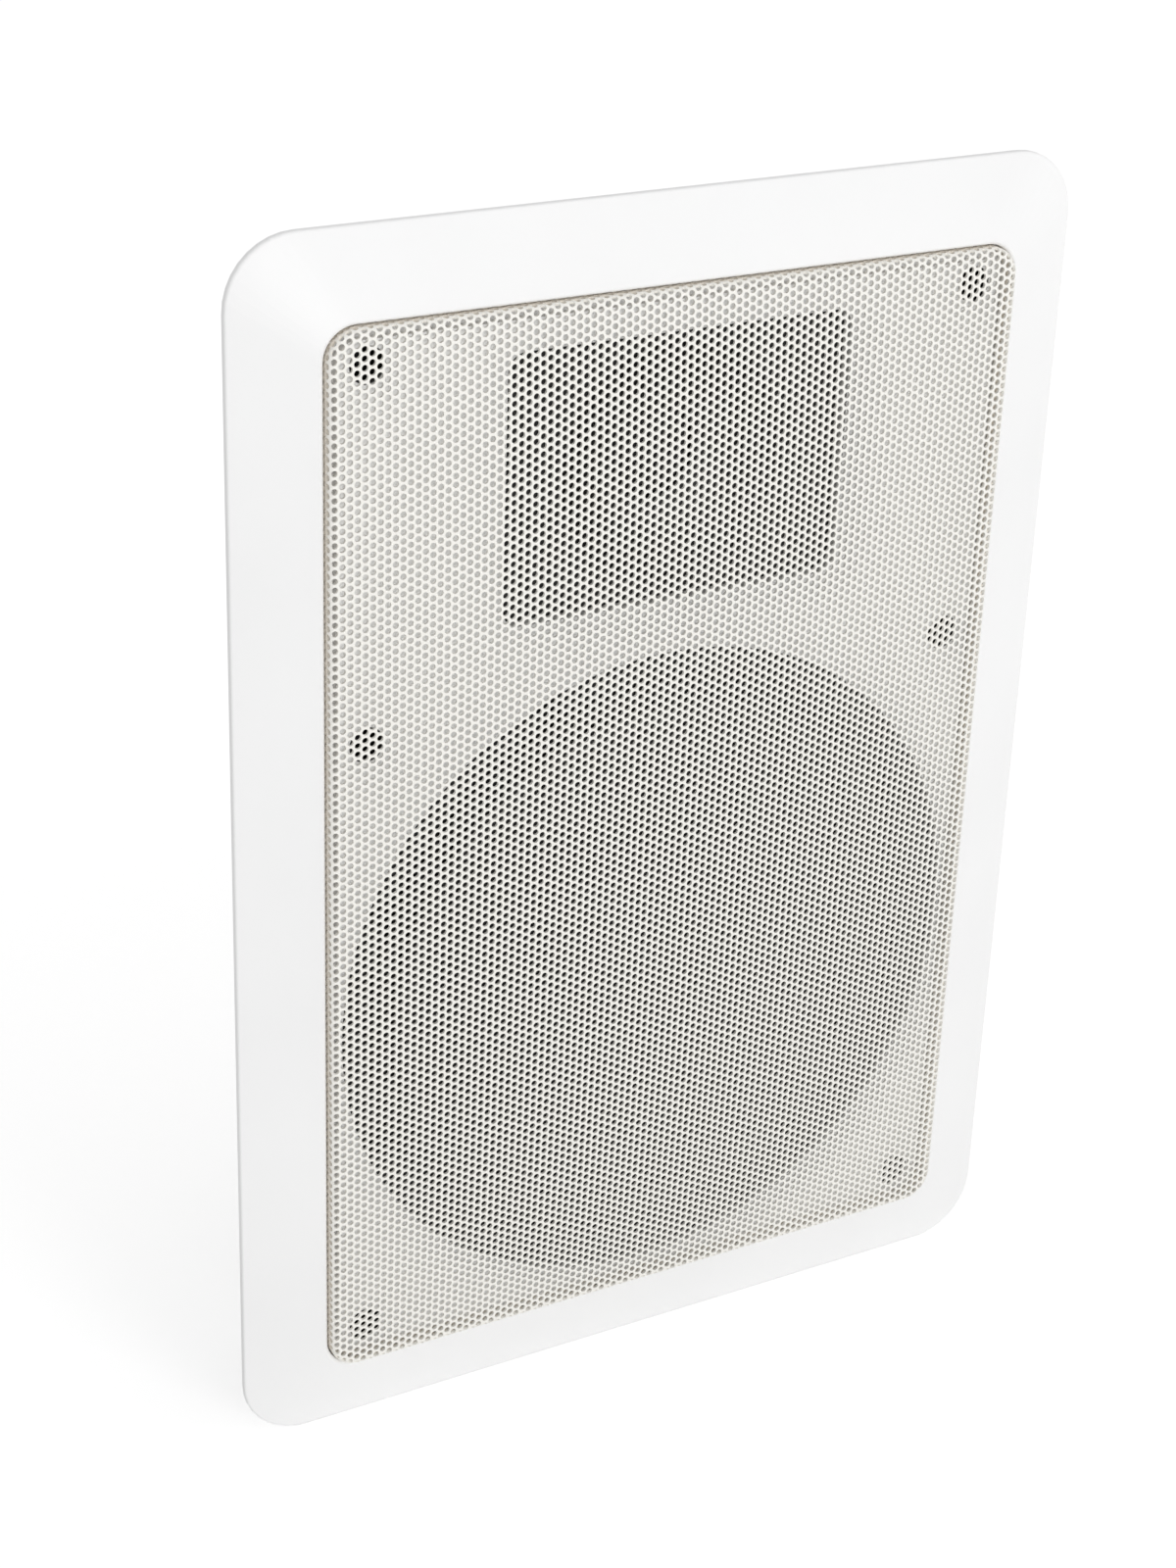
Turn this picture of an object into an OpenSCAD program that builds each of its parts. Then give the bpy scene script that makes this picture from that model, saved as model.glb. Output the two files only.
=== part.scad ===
// Rectangular flush-mount loudspeaker for a ceiling or a wall.
// A moulded picture-frame bezel holds a crowned perforated grille, an eight-inch woofer and a
// dome tweeter. Six screws swing out clamp arms that grip the back of the board.
// The part stands upright: X to the right, Z up the long side, and the room on the -Y side.
// Modules draw in the face frame: x right, y up the long side, z into the room, and z = 0 on
// the surface of the board. upright() turns that frame into the part's own.

/* [Bezel] */
// Width over the bezel
bezel_w = 266; // [250:1:300]
// Height over the bezel
bezel_h = 371; // [360:1:410]
// Width of the sloping band, from the outer edge to the opening
band_w = 24; // [22:0.5:30]
// Height of the outer rim above the board
rim_h = 2; // [1.5:0.1:3]
// Height of the band's inner edge above the board
lip_h = 9.5; // [9:0.1:12]
// Radius of the bezel's outer corners
outer_r = 20; // [14:0.5:30]
// Radius of the opening's corners
opening_r = 9.5; // [7:0.5:14]
// Wall of the moulded band
shell_t = 2.3; // [1.8:0.1:3]

/* [Cut-out and skirt] */
// Width of board that the bezel covers on each side of the cut-out
cover_side = 13; // [11:0.5:15]
// Width of board that the bezel covers above and below the cut-out
cover_end = 13; // [11:0.5:15]
// Gap between the skirt and the cut-out
cutout_gap = 2; // [1:0.5:4]
// Wall of the skirt
skirt_t = 2.5; // [2:0.1:4]
// Distance that the skirt ends short of the back of the thinnest board
skirt_clear = 2; // [1:0.5:4]

/* [Baffle] */
// Height of the baffle's front above the board
baffle_z = 8; // [7:0.1:9]
// Thickness of the baffle
baffle_t = 4; // [3:0.1:5]
// Width of the groove that takes the grille's edge
groove_w = 4.6; // [3:0.1:5]
// Depth of the groove below the baffle's front
groove_depth = 3; // [2.5:0.1:4]

/* [Grille] */
// Gap between the grille and the opening
grille_gap = 0.4; // [0.3:0.1:1]
// Height of the grille's edge above the board
grille_edge_z = 11.7; // [11:0.1:13]
// Rise of the grille from its edge to its middle
grille_crown = 4.7; // [2:0.1:8]
// Thickness of the grille's sheet
sheet_t = 1; // [0.5:0.1:1.2]
// Outer radius of the bend along the grille's edge
bend_r = 1.4; // [1.3:0.1:3]
// Centre distance of the grille's holes, five times as coarse as on the real sheet
perf_pitch = 12.5; // [12.5:0.5:25]
// Size of a grille hole
perf_hole = 8.1; // [4:0.1:9]
// Plain margin between the outermost holes and the grille's edge
perf_margin = 2.4; // [2:0.1:8]

/* [Woofer] */
// Distance of the woofer's centre from the bezel's bottom edge
woofer_inset = 134.5; // [132:0.5:145]
// Diameter of the hole behind the flange
seat_d = 186; // [184:0.5:190]
// Width of the woofer's flange outside that hole
flange_w = 10.25; // [9:0.05:11]
// Thickness of the basket's sheet
basket_t = 1.5; // [1:0.1:2]
// Depth of the spider's ledge behind the board's surface
ledge_depth = 33; // [28:0.5:40]
// Depth of the basket's floor behind the board's surface
floor_depth = 46; // [42:0.5:56]
// Diameter of the voice coil's former
coil_d = 38; // [36:0.5:40]
// Diameter of the cone's edge
cone_d = 156; // [150:0.5:160]
// Wall of the cone
cone_t = 0.8; // [0.6:0.1:1.5]
// Height of the surround's roll
roll_h = 4; // [3:0.1:4.5]
// Diameter of the dust cap
cap_d = 60; // [50:1:70]
// Diameter of the ferrite magnet
magnet_d = 100; // [90:1:120]
// Thickness of the ferrite magnet
magnet_t = 18; // [14:0.5:22]
// Thickness of the steel plates on both sides of the magnet
plate_t = 6.5; // [5:0.5:8]
// Number of screws through the woofer's flange
woofer_screw_n = 8; // [4:1:12]
// Distance of those screws from the flange's edge
woofer_screw_inset = 4.75; // [4.25:0.25:5.25]

/* [Tweeter] */
// Distance of the tweeter's centre from the bezel's top edge
tweeter_inset = 77.1; // [75.5:0.2:85]
// Width of the tweeter's window in the baffle
window_w = 109.5; // [100:0.5:112]
// Height of the tweeter's window in the baffle
window_h = 79; // [74:0.5:82]
// Radius of the window's corners
window_r = 5.5; // [3:0.5:8]
// Thickness of the tweeter's faceplate
faceplate_t = 3; // [2.5:0.1:4]
// Diameter of the waveguide's mouth
mouth_d = 72; // [60:1:74]
// Diameter of the tweeter's dome
dome_d = 25.4; // [24:0.2:27]
// Diameter of the tweeter's magnet
tweeter_magnet_d = 55; // [50:1:60]

/* [Clamps] */
// Distance of the clamp screws from the bezel's long edges
clamp_side_inset = 37; // [35:0.5:39]
// Distance of the top and bottom clamp screws from the bezel's short edges
clamp_end_inset = 35.5; // [34.5:0.5:39.5]
// Distance of the middle clamp screws below the tweeter's centre
clamp_mid_drop = 66.4; // [58:0.2:70]
// Diameter of the clamp screws
screw_d = 4; // [3.5:0.1:4.5]
// Diameter of the recess over each clamp screw
recess_d = 10.5; // [9:0.1:11]
// Length of the clamp screws under their heads
screw_len = 60; // [56:1:64]
// Reach of a clamp arm from its screw
arm_len = 34; // [30:0.5:36]
// Width of a clamp arm
arm_w = 13; // [11:0.5:14]
// Thickest board that the clamps can grip
grip_max = 42; // [40:0.5:44]
// Thinnest board that the clamps can grip
grip_min = 9; // [9:0.5:14]

/* [Crossover] */
// Width of the crossover board
board_w = 44; // [42:0.5:46]
// Height of the crossover board
board_h = 76; // [74:0.5:80]
// Depth of the crossover board behind the board's surface
board_depth = 16; // [15:0.5:20]

/* [Hidden] */

$fn = 64;
// Overlap that lets two shapes of one solid merge
merge = 0.5;
// Gap of a running fit
run_gap = 0.08;
// Glue line between round pieces
glue_gap = 0.05;
// Gap between pieces that are dropped into each other
seat_gap = 0.35;

opening_w = bezel_w - 2 * band_w;
opening_h = bezel_h - 2 * band_w;
cutout_w = bezel_w - 2 * cover_side;
cutout_h = bezel_h - 2 * cover_end;
skirt_w = cutout_w - 2 * cutout_gap;
skirt_h = cutout_h - 2 * cutout_gap;
skirt_depth = grip_min - skirt_clear;
baffle_back_z = baffle_z - baffle_t;
groove_z = baffle_z - groove_depth;
floor_t = 2.5;
// Distance that the groove's floor reaches under the baffle
groove_lap = 1.5;
baffle_w = opening_w - 2 * groove_w;
baffle_h = opening_h - 2 * groove_w;

woofer_y = woofer_inset - bezel_h / 2;
flange_d = seat_d + 2 * flange_w;
woofer_screw_circle = flange_d - 2 * woofer_screw_inset;
tweeter_y = bezel_h / 2 - tweeter_inset;
clamp_x = bezel_w / 2 - clamp_side_inset;
clamp_y = bezel_h / 2 - clamp_end_inset;
clamp_mid_y = tweeter_y - clamp_mid_drop;

// Half-size and corner radius of the band's outline at a distance u inside the outer edge
function band_half(u) = [bezel_w / 2 - u, bezel_h / 2 - u];
function band_r(u) = outer_r + (opening_r - outer_r) * u / band_w;

// Points of an arc
function arc(c, r, a0, a1, n) =
    [for (i = [0:n]) c + r * [cos(a0 + (a1 - a0) * i / n), sin(a0 + (a1 - a0) * i / n)]];

// Points between two corners, without the ends
function between(p, q, m) = [for (i = [1:m - 1]) p + (q - p) * i / m];

// Outline of a rounded rectangle, counter-clockwise, with n steps a corner and its sides
// cut into mx and my steps
function rounded_loop(half, r, n, mx, my) =
    let (
        a = arc([half.x - r, half.y - r], r, 0, 90, n),
        b = arc([r - half.x, half.y - r], r, 90, 180, n),
        c = arc([r - half.x, r - half.y], r, 180, 270, n),
        d = arc([half.x - r, r - half.y], r, 270, 360, n)
    )
    concat(a, between(a[n], b[0], mx), b, between(b[n], c[0], my),
        c, between(c[n], d[0], mx), d, between(d[n], a[0], my));

module upright() {
    rotate([90, 0, 0])
        children();
}

module rounded_rect(w, h, r) {
    square([w - 2 * r, h], center = true);
    square([w, h - 2 * r], center = true);
    for (sx = [-1, 1], sy = [-1, 1])
        translate([sx * (w / 2 - r), sy * (h / 2 - r)])
            circle(r);
}

module rounded_block(w, h, r, z0, z1) {
    translate([0, 0, z0])
        linear_extrude(z1 - z0)
            rounded_rect(w, h, r);
}

module tube(r_out, r_in, z0, z1) {
    translate([0, 0, z0])
        difference() {
            cylinder(h = z1 - z0, r = r_out);
            translate([0, 0, -1])
                cylinder(h = z1 - z0 + 2, r = r_in);
        }
}

// A closed ring whose section is a list of equal loops of points
module ring_loft(loops) {
    k = len(loops);
    n = len(loops[0]);
    polyhedron(
        points = [for (l = loops) each l],
        faces = [for (i = [0:k - 1], j = [0:n - 1])
            let (i2 = (i + 1) % k, j2 = (j + 1) % n)
            [i * n + j, i2 * n + j, i2 * n + j2, i * n + j2]]
    );
}

/* Bezel and frame */

band_slope = (lip_h - rim_h) / band_w;
rim_round = 0.8;
lip_round = 0.9;
foot_w = 2.4;
inner_wall_u = band_w - 2.2;
inner_wall_z = groove_z - floor_t - 0.5;

function band_top(u) = rim_h + band_slope * u;

// Section of the band as [distance inside the outer edge, height]
band_section = concat(
    [[0, 0]],
    [for (p = arc([rim_round, band_top(0) - rim_round], rim_round, 180, 105, 3)) p],
    [for (p = arc([band_w - lip_round, lip_h - 0.1 - lip_round], lip_round, 105, 0, 4)) p],
    [[band_w, inner_wall_z], [inner_wall_u, inner_wall_z],
        [inner_wall_u, band_top(inner_wall_u) - shell_t],
        [foot_w + 0.6, band_top(foot_w + 0.6) - shell_t], [foot_w, 0]]
);

module band() {
    ring_loft([for (p = band_section)
        [for (q = rounded_loop(band_half(p[0]), band_r(p[0]), 9, 1, 1)) [q.x, q.y, p[1]]]]);
}

// Clamp places, each with the direction in which its arm lies folded and the middle of the
// guide, which stands where the arm never sweeps
clamp_places = [
    [-clamp_x, clamp_y, -90, 45], [clamp_x, clamp_y, -90, 135],
    [-clamp_x, clamp_mid_y, 90, 315], [clamp_x, clamp_mid_y, 90, 225],
    [-clamp_x, -clamp_y, 90, 315], [clamp_x, -clamp_y, 90, 225]
];

tower_r = 7.2;
tower_back = -skirt_depth;
head_seat_z = tower_back + 4;
guide_r = 11.5;
guide_t = 2.3;
guide_span = 140;

module at_clamp(i) {
    p = clamp_places[i];
    translate([p[0], p[1], 0])
        children();
}

// Curved wall beside a clamp screw
module guide_wall(i, z0, z1) {
    translate([0, 0, z0])
        rotate([0, 0, clamp_places[i][3] - guide_span / 2])
            rotate_extrude(angle = guide_span)
                translate([guide_r - guide_t, 0])
                    square([guide_t, z1 - z0]);
}

// Boss behind the baffle that a clamp screw passes through, with the root of its guide
module clamp_tower(i) {
    translate([0, 0, tower_back])
        cylinder(h = baffle_back_z + merge - tower_back, r = tower_r);
    guide_wall(i, tower_back, baffle_back_z + merge);
}

module clamp_guides() {
    color("white")
    upright()
    for (i = [0:5])
        at_clamp(i)
            guide_wall(i, arm_rest_z, tower_back);
}

module skirt() {
    difference() {
        rounded_block(skirt_w, skirt_h, band_r((bezel_w - skirt_w) / 2), -skirt_depth,
            band_top((bezel_w - skirt_w) / 2) - shell_t / 2);
        rounded_block(skirt_w - 2 * skirt_t, skirt_h - 2 * skirt_t,
            band_r((bezel_w - skirt_w) / 2) - skirt_t, -skirt_depth - 1, lip_h);
    }
}

// Stiffening rib under the band, drawn for the right side: u is the distance inside the edge
module band_rib(edge) {
    u0 = 3.6;
    u1 = (bezel_w - skirt_w) / 2 + skirt_t / 2;
    translate([0, 0.75, 0])
        rotate([90, 0, 0])
            linear_extrude(1.5)
                polygon([[edge - u1, 0.5], [edge - u0, 0.5],
                    [edge - u0, band_top(u0) - shell_t / 2],
                    [edge - u1, band_top(u1) - shell_t / 2]]);
}

side_rib_pitch = 50;
end_rib_pitch = 45;
seat_back_z = 1;
flange_z = baffle_back_z;
woofer_hole_r = flange_d / 2 + seat_gap;
pillar_x = 72;
pillar_r = 3.6;
window_screw_out = 3.6;
window_screw_x = window_w / 2 + window_screw_out;
window_screw_y = window_h / 2 + window_screw_out;

module front_frame() {
    color("white")
    upright()
    difference() {
        union() {
            band();
            skirt();
            difference() {
                rounded_block(opening_w + 2, opening_h + 2, opening_r, groove_z - floor_t, groove_z);
                rounded_block(baffle_w - 2 * groove_lap, baffle_h - 2 * groove_lap, opening_r - 2,
                    -1, baffle_z);
            }
            rounded_block(baffle_w, baffle_h, opening_r - groove_w, baffle_back_z, baffle_z);
            translate([0, woofer_y, 0])
                tube(woofer_hole_r + 2.6, seat_d / 2, seat_back_z, baffle_back_z + 0.7);
            for (i = [0:5])
                at_clamp(i)
                    clamp_tower(i);
            for (s = [-1, 1])
                translate([pillar_x, tweeter_y + s * pillar_dy, -board_depth])
                    cylinder(h = board_depth + baffle_back_z + merge, r = pillar_r);
            for (side = [-1, 1], k = [-3:3])
                translate([0, k * side_rib_pitch, 0])
                    mirror([side < 0 ? 1 : 0, 0, 0])
                        band_rib(bezel_w / 2);
            for (side = [-1, 1], k = [-2:2])
                translate([k * end_rib_pitch, 0, 0])
                    rotate([0, 0, side * 90])
                        band_rib(bezel_h / 2);
        }
        translate([0, woofer_y, flange_z])
            cylinder(h = baffle_t + 1, r = woofer_hole_r);
        translate([0, woofer_y, seat_back_z - 1])
            cylinder(h = baffle_t + 8, r = seat_d / 2);
        translate([0, tweeter_y, 0])
            rounded_block(window_w, window_h, window_r, baffle_back_z - 1, baffle_z + 1);
        for (i = [0:5])
            at_clamp(i) {
                translate([0, 0, head_seat_z])
                    cylinder(h = baffle_z - head_seat_z + 1, r = recess_d / 2);
                translate([0, 0, tower_back - 1])
                    cylinder(h = head_seat_z - tower_back + 2, r = screw_d / 2 + 0.3);
            }
        translate([0, woofer_y, seat_back_z - 1])
            woofer_screw_ring(h = baffle_t + 1, r = 1.3);
        for (sx = [-1, 1], sy = [-1, 1])
            translate([sx * window_screw_x, tweeter_y + sy * window_screw_y, baffle_back_z - 1])
                cylinder(h = baffle_t - 0.2, r = 1.1);
        for (s = [-1, 1])
            translate([pillar_x, tweeter_y + s * pillar_dy, -board_depth - 1])
                cylinder(h = 9, r = 1.1);
    }
}

module woofer_screw_ring(h, r) {
    for (k = [0:woofer_screw_n - 1])
        rotate([0, 0, (k + 0.5) * 360 / woofer_screw_n])
            translate([woofer_screw_circle / 2, 0, 0])
                cylinder(h = h, r = r);
}

/* Grille */

grille_half = [opening_w / 2 - grille_gap, opening_h / 2 - grille_gap];
grille_r = opening_r - grille_gap;
grille_foot_z = groove_z + 0.3;
grille_steps = [1, 0.9, 0.76, 0.6, 0.42, 0.22];

// Height of the grille's outer face: square in the width, cubic in the height
function crown_z(p, t) = grille_edge_z - t + grille_crown
    * (1 - pow(abs(p.x) / grille_half.x, 2)) * (1 - pow(abs(p.y) / grille_half.y, 3));

function grille_loop(inset) = rounded_loop(grille_half - [inset, inset], grille_r - inset, 4, 6, 8);

// Loops of one face of the sheet: t is its depth below the outer face
function grille_face(t) = concat(
    [for (s = grille_steps) [for (q = grille_loop(bend_r)) [q.x * s, q.y * s, crown_z(q * s, t)]]],
    [for (a = [60, 30, 0])
        let (r = bend_r - t)
        [for (q = grille_loop(bend_r - r * cos(a)))
            [q.x, q.y, crown_z(q, 0) - bend_r + r * sin(a)]]],
    [[for (q = grille_loop(t)) [q.x, q.y, grille_foot_z]]]
);

function reversed(v) = [for (i = [len(v) - 1:-1:0]) v[i]];

module grille_sheet() {
    outer = grille_face(0);
    inner = grille_face(sheet_t);
    order = [5, 4, 3, 2, 1, 0, 6, 7, 8, 9];
    loops = concat([for (i = order) inner[i]], [for (i = reversed(order)) outer[i]]);
    k = len(loops);
    n = len(loops[0]);
    last = k * n;
    polyhedron(
        points = concat([for (l = loops) each l], [[0, 0, crown_z([0, 0], sheet_t)]],
            [[0, 0, crown_z([0, 0], 0)]]),
        faces = concat(
            [for (j = [0:n - 1]) [last, j, (j + 1) % n]],
            [for (i = [0:k - 2], j = [0:n - 1])
                let (j2 = (j + 1) % n)
                each [[i * n + j, (i + 1) * n + j, i * n + j2],
                    [i * n + j2, (i + 1) * n + j, (i + 1) * n + j2]]],
            [for (j = [0:n - 1]) [last + 1, last - n + (j + 1) % n, last - n + j]]
        )
    );
}

perf_step = perf_pitch * sqrt(3) / 2;
perf_reach = grille_half - [perf_margin, perf_margin] - [perf_hole, perf_hole] / 2;
perf_columns = floor(perf_reach.x / perf_step + 0.5);

module grille() {
    color("gainsboro")
    upright()
    difference() {
        grille_sheet();
        for (c = [-perf_columns:perf_columns - 1])
            let (
                x = (c + 0.5) * perf_step,
                stagger = (c % 2 == 0 ? 0.25 : -0.25) * perf_pitch,
                rows = floor((perf_reach.y - abs(stagger)) / perf_pitch)
            )
            for (k = [-rows:rows])
                translate([x, k * perf_pitch + stagger, grille_edge_z - 4])
                    cylinder(h = grille_crown + 8, r = perf_hole / 2, $fn = 6);
    }
}

/* Woofer */

flange_r = flange_d / 2;
flange_front = flange_z + basket_t;
wall_r = seat_d / 2 - 2.5;
ledge_r = 65;
ledge_in_r = 56;
floor_r = 45;
plate_hole_r = coil_d / 2 + 1.2;
cone_r = cone_d / 2;
roll_in_r = cone_r;
roll_out_r = wall_r - 2.5;
roll_mid_r = (roll_in_r + roll_out_r) / 2;
rubber_t = 0.6;

module at_woofer() {
    upright()
        translate([0, woofer_y, 0])
            children();
}

module woofer_basket() {
    window_n = 8;
    color("dimgray")
    at_woofer()
    difference() {
        rotate_extrude()
            polygon([
                [flange_r, flange_z], [wall_r, flange_z], [wall_r - 2.5, -9],
                [ledge_r, -ledge_depth - basket_t], [ledge_in_r, -ledge_depth - basket_t],
                [floor_r, -floor_depth], [plate_hole_r + 3, -floor_depth],
                [plate_hole_r + 3, -floor_depth + basket_t],
                [floor_r - 0.7, -floor_depth + basket_t], [ledge_in_r - 0.7, -ledge_depth],
                [ledge_r - 0.7, -ledge_depth], [wall_r - 4.1, -8.4],
                [wall_r - 1.6, flange_front], [flange_r, flange_front]]);
        for (k = [0:window_n - 1])
            rotate([0, 0, k * 360 / window_n])
                translate([0, 0, -ledge_depth + 3])
                    linear_extrude(ledge_depth - 13)
                        polygon([[ledge_r - 6, -9], [wall_r + 8, -17], [wall_r + 8, 17],
                            [ledge_r - 6, 9]]);
        translate([0, 0, flange_z - 1])
            woofer_screw_ring(h = basket_t + 2, r = 2.2);
    }
}

screw_head_r = 3.4;
gasket_out_r = woofer_screw_circle / 2 - screw_head_r - 0.6;
gasket_in_r = roll_out_r + 1.2;
gasket_t = 1.6;

module woofer_gasket() {
    color("black")
    at_woofer()
        tube(gasket_out_r, gasket_in_r, flange_front + rubber_t, flange_front + rubber_t + gasket_t);
}

// Half-roll of rubber between the cone's edge and the basket's flange
module woofer_surround() {
    half = (roll_out_r - roll_in_r) / 2;
    function roll(h, w) = [for (i = [0:12])
        [roll_mid_r - w * cos(i * 15), flange_front + h * sin(i * 15)]];
    outer = roll(roll_h + rubber_t, half);
    inner = roll(roll_h, half - rubber_t);
    color("black")
    at_woofer()
        rotate_extrude()
            polygon(concat(
                [[roll_in_r - 4, flange_front], [roll_in_r - 4, flange_front + rubber_t],
                    [roll_in_r, flange_front + rubber_t]],
                [for (i = [2:10]) outer[i]],
                [[roll_out_r, flange_front + rubber_t], [gasket_out_r, flange_front + rubber_t],
                    [gasket_out_r, flange_front]],
                [for (i = [12:-1:0]) inner[i]]));
}

neck_r = coil_d / 2 + glue_gap;
neck_z = -ledge_depth + 7;
cone_edge_z = flange_front;

// Height of the cone's front at radius r: a shallow flare
function cone_z(r) = neck_z + (cone_edge_z - neck_z) * pow((r - neck_r) / (cone_r - 4 - neck_r), 0.85);

module woofer_cone() {
    steps = 10;
    radii = [for (i = [0:steps]) neck_r + (cone_r - 4 - neck_r) * i / steps];
    color("black")
    at_woofer()
        rotate_extrude()
            polygon(concat(
                [for (r = radii) [r, cone_z(r)]],
                [[cone_r, cone_edge_z], [cone_r, cone_edge_z - cone_t]],
                [for (i = [steps:-1:0]) [radii[i], cone_z(radii[i]) - 1.3 * cone_t]]));
}

cap_r = cap_d / 2;
cap_rise = 9;
cap_sphere = (cap_r * cap_r + cap_rise * cap_rise) / (2 * cap_rise);

module dust_cap() {
    base_z = cone_z(cap_r) + glue_gap;
    a1 = asin(cap_r / cap_sphere);
    function cap_arc(r, shift) = [for (i = [0:8])
        [r * sin(a1 * i / 8), base_z + shift + r * cos(a1 * i / 8) - cap_sphere * cos(a1)]];
    color("black")
    at_woofer()
        rotate_extrude()
            polygon(concat(cap_arc(cap_sphere, 0.7), reversed(cap_arc(cap_sphere, 0))));
}

former_t = 0.5;
winding_t = 0.75;
gap_z = -floor_depth - plate_t / 2;
winding_len = 14;
winding_back = gap_z - winding_len / 2;

module coil_former() {
    color("tan")
    at_woofer()
        tube(coil_d / 2, coil_d / 2 - former_t, winding_back, neck_z + 1);
}

module coil_winding() {
    color("chocolate")
    at_woofer()
        tube(coil_d / 2 + glue_gap + winding_t, coil_d / 2 + glue_gap, winding_back + 0.5,
            winding_back + winding_len);
}

// Corrugated cloth disc that centres the coil
module woofer_spider() {
    r_in = coil_d / 2 + 0.1;
    r_flat = ledge_in_r - 1;
    waves = 6;
    steps = 6 * waves;
    z0 = -ledge_depth;
    function wave(i) = [r_in + 3 + (r_flat - r_in - 3) * i / steps, z0 + 1.3 * sin(360 * waves * i / steps)];
    color("goldenrod")
    at_woofer()
        rotate_extrude()
            polygon(concat([[r_in, z0]], [for (i = [0:steps]) wave(i)], [[ledge_r - 1.2, z0]],
                [[ledge_r - 1.2, z0 + 0.6]], [for (i = [steps:-1:0]) wave(i) + [0, 0.6]],
                [[r_in, z0 + 0.6]]));
}

module top_plate() {
    color("silver")
    at_woofer()
        tube(floor_r + 1, plate_hole_r - 0.05, -floor_depth - plate_t, -floor_depth);
}

module ferrite_magnet() {
    color("dimgray")
    at_woofer()
        tube(magnet_d / 2, plate_hole_r + 7, -floor_depth - plate_t - magnet_t,
            -floor_depth - plate_t);
}

module woofer_yoke() {
    back = -floor_depth - 2 * plate_t - magnet_t;
    color("silver")
    at_woofer()
        rotate_extrude()
            polygon([[6, back], [magnet_d / 2 - 5, back], [magnet_d / 2 - 3, back + 2],
                [magnet_d / 2 - 3, back + plate_t], [coil_d / 2 - former_t - 0.4, back + plate_t],
                [coil_d / 2 - former_t - 0.4, -floor_depth], [5, -floor_depth]]);
}

tag_angle = 60;
tag_z = -ledge_depth - basket_t;
strip_len = 16;
strip_w = 22;
strip_t = 1.6;
tag_len = 13;
tag_w = 4.8;
tag_out = strip_len + 8;
tag_pitch = 12;

module at_tag() {
    at_woofer()
        rotate([0, 0, tag_angle])
            translate([ledge_in_r + 2, 0, tag_z])
                children();
}

// Insulating strip under the ledge, with two solder tags
module tag_strip() {
    color("peru")
    at_tag()
    union() {
        translate([0, -strip_w / 2, -strip_t])
            cube([strip_len, strip_w, strip_t]);
        for (s = [-1, 1])
            translate([tag_out - 1 - tag_len, (s * tag_pitch - tag_w) / 2, -strip_t - 0.8])
                cube([tag_len, tag_w, 1]);
    }
}

module pan_screw(head_r, head_h, r, len) {
    translate([0, 0, -len])
        cylinder(h = len + 0.2, r = r);
    cylinder(h = head_h * 0.55, r = head_r);
    translate([0, 0, head_h * 0.55])
        cylinder(h = head_h * 0.45, r1 = head_r, r2 = head_r * 0.72);
}

module cross_slot(r, z) {
    for (a = [0, 90])
        rotate([0, 0, a])
            translate([-r * 0.6, -r * 0.13, z])
                cube([r * 1.2, r * 0.26, r]);
}

module cross_screw(head_r, head_h, r, len) {
    difference() {
        pan_screw(head_r, head_h, r, len);
        cross_slot(head_r, head_h * 0.45);
    }
}

woofer_screw_grip = 2.6;

module woofer_screws() {
    color("black")
    at_woofer()
        for (k = [0:woofer_screw_n - 1])
            rotate([0, 0, (k + 0.5) * 360 / woofer_screw_n])
                translate([woofer_screw_circle / 2, 0, flange_front])
                    cross_screw(screw_head_r, 2.4, 1.25, basket_t + woofer_screw_grip);
}

/* Tweeter */

faceplate_rim = 7.2;
faceplate_w = window_w + 2 * faceplate_rim;
faceplate_h = window_h + 2 * faceplate_rim;
faceplate_z = baffle_back_z - faceplate_t;
throat_r = dome_d / 2 + 1.5;
throat_z = -8;
motor_z = -10.5;

module at_tweeter() {
    upright()
        translate([0, tweeter_y, 0])
            children();
}

module tweeter_faceplate() {
    steps = 8;
    function flare(i) = [throat_r + (mouth_d / 2 - throat_r) * i / steps,
        throat_z + (baffle_back_z - throat_z) * pow(i / steps, 1.6)];
    color("black")
    at_tweeter()
    difference() {
        union() {
            difference() {
                rounded_block(faceplate_w, faceplate_h, 4, faceplate_z, baffle_back_z);
                translate([0, 0, faceplate_z - 1])
                    cylinder(h = faceplate_t + 2, r = mouth_d / 2 - 0.4);
            }
            rotate_extrude()
                polygon(concat([for (i = [0:steps]) flare(i)],
                    [[mouth_d / 2 + 3, baffle_back_z], [mouth_d / 2 + 3, faceplate_z],
                        [throat_r + 12, throat_z + 1.5], [throat_r + 11, motor_z],
                        [throat_r, motor_z]]));
            for (s = [-1, 1])
                translate([board_pillar_x, s * pillar_dy, -board_depth])
                    cylinder(h = board_depth + faceplate_z + merge, r = pillar_r);
        }
        for (sx = [-1, 1], sy = [-1, 1])
            translate([sx * window_screw_x, sy * window_screw_y, faceplate_z - 1])
                cylinder(h = faceplate_t + 2, r = 1.7);
        for (s = [-1, 1])
            translate([board_pillar_x, s * pillar_dy, -board_depth - 1])
                cylinder(h = 9, r = 1.1);
    }
}

dome_rim = 5;

module tweeter_dome() {
    r = dome_d / 2;
    rise = 4.2;
    sphere_r = (r * r + rise * rise) / (2 * rise);
    a1 = asin(r / sphere_r);
    z0 = motor_z - 0.6;
    function dome(radius) = [for (i = [0:7])
        [radius * sin(a1 * i / 7), z0 + radius * cos(a1 * i / 7) - sphere_r * cos(a1)]];
    color("silver")
    at_tweeter()
        rotate_extrude()
            polygon(concat(dome(sphere_r + 0.6), [[throat_r + dome_rim, motor_z], [throat_r + dome_rim, z0]],
                reversed(dome(sphere_r))));
}

tweeter_plate_t = 4;
tweeter_plate_rim = 10;
tweeter_plate_r = throat_r + tweeter_plate_rim;
tweeter_magnet_t = 10;

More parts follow.
